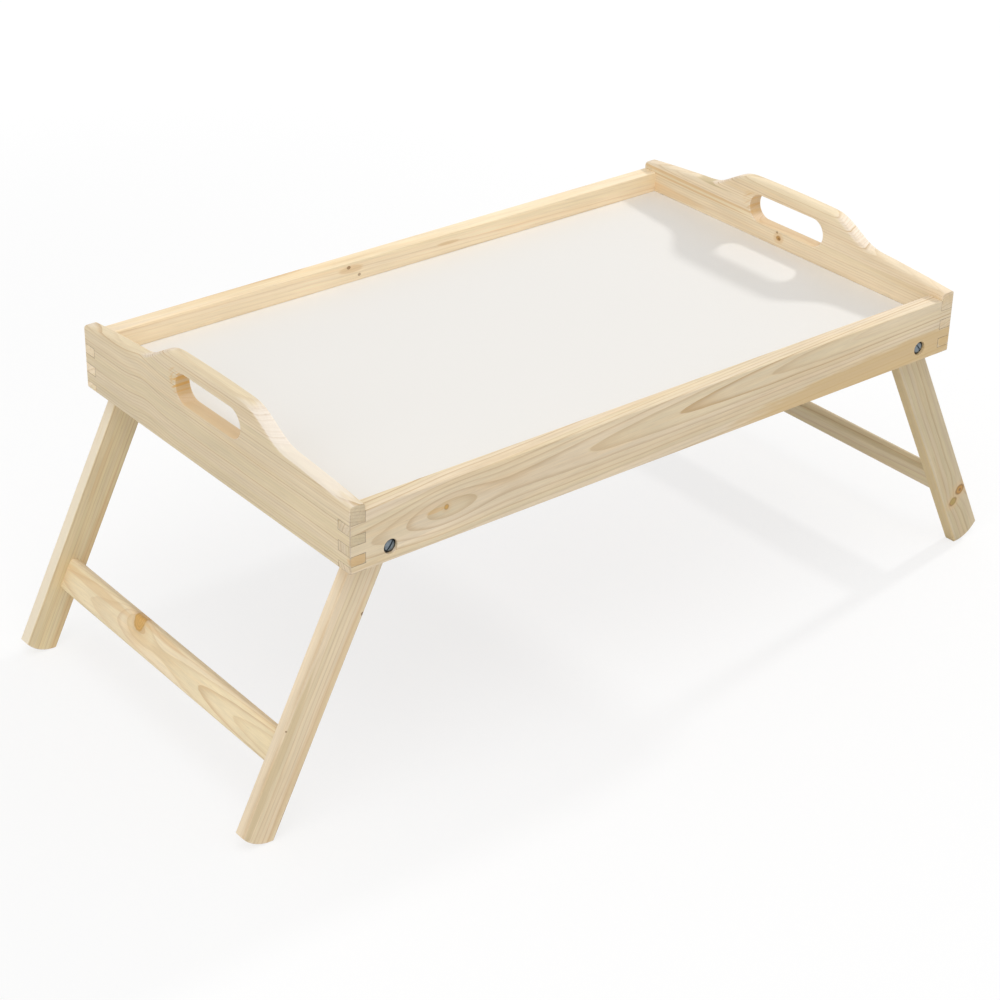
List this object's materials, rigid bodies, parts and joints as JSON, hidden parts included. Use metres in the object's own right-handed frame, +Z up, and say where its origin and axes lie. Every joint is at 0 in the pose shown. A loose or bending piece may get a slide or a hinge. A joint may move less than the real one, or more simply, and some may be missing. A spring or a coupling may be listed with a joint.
{
  "type": "bed tray table",
  "caption": "Wooden bed tray with box-jointed rim, raised end boards with hand holes, a thin white panel and two leg frames that fold flat underneath.",
  "frame": {"origin": "on the floor, under the middle of the tray", "axes": "+X along the tray to the right end board, -Y to the front rail, +Z up"},
  "size_m": [0.6414, 0.3, 0.2427],
  "materials": {
    "pine_wood": "raw sanded pine",
    "white_panel": "white melamine-faced hardboard",
    "zinc_steel": "zinc plated"
  },
  "bodies": {
    "tray": {"end_board_left": "pine_wood", "end_board_right": "pine_wood", "front_rail": "pine_wood", "back_rail": "pine_wood", "tray_panel": "white_panel", "pivot_bolt_front_left": "zinc_steel", "pivot_bolt_back_left": "zinc_steel", "pivot_bolt_front_right": "zinc_steel", "pivot_bolt_back_right": "zinc_steel", "pivot_washer_front_left": "zinc_steel", "pivot_washer_back_left": "zinc_steel", "pivot_washer_front_right": "zinc_steel", "pivot_washer_back_right": "zinc_steel", "nut_washer_front_left": "zinc_steel", "nut_washer_back_left": "zinc_steel", "nut_washer_front_right": "zinc_steel", "nut_washer_back_right": "zinc_steel", "lock_nut_front_left": "zinc_steel", "lock_nut_back_left": "zinc_steel", "lock_nut_front_right": "zinc_steel", "lock_nut_back_right": "zinc_steel"},
    "left_leg_frame": {"leg_front_left": "pine_wood", "leg_back_left": "pine_wood", "stretcher_left": "pine_wood"},
    "right_leg_frame": {"leg_front_right": "pine_wood", "leg_back_right": "pine_wood", "stretcher_right": "pine_wood"}
  },
  "joints": [
    {"name": "left_leg_fold", "type": "hinge", "parent": "tray", "child": "left_leg_frame", "pos_m": [-0.2211, 0, 0.18444], "axis": [0, -1, 0], "range_deg": [0, 116.4]},
    {"name": "right_leg_fold", "type": "hinge", "parent": "tray", "child": "right_leg_frame", "pos_m": [0.2211, 0, 0.18444], "axis": [0, 1, 0], "range_deg": [0, 116.4]}
  ]
}
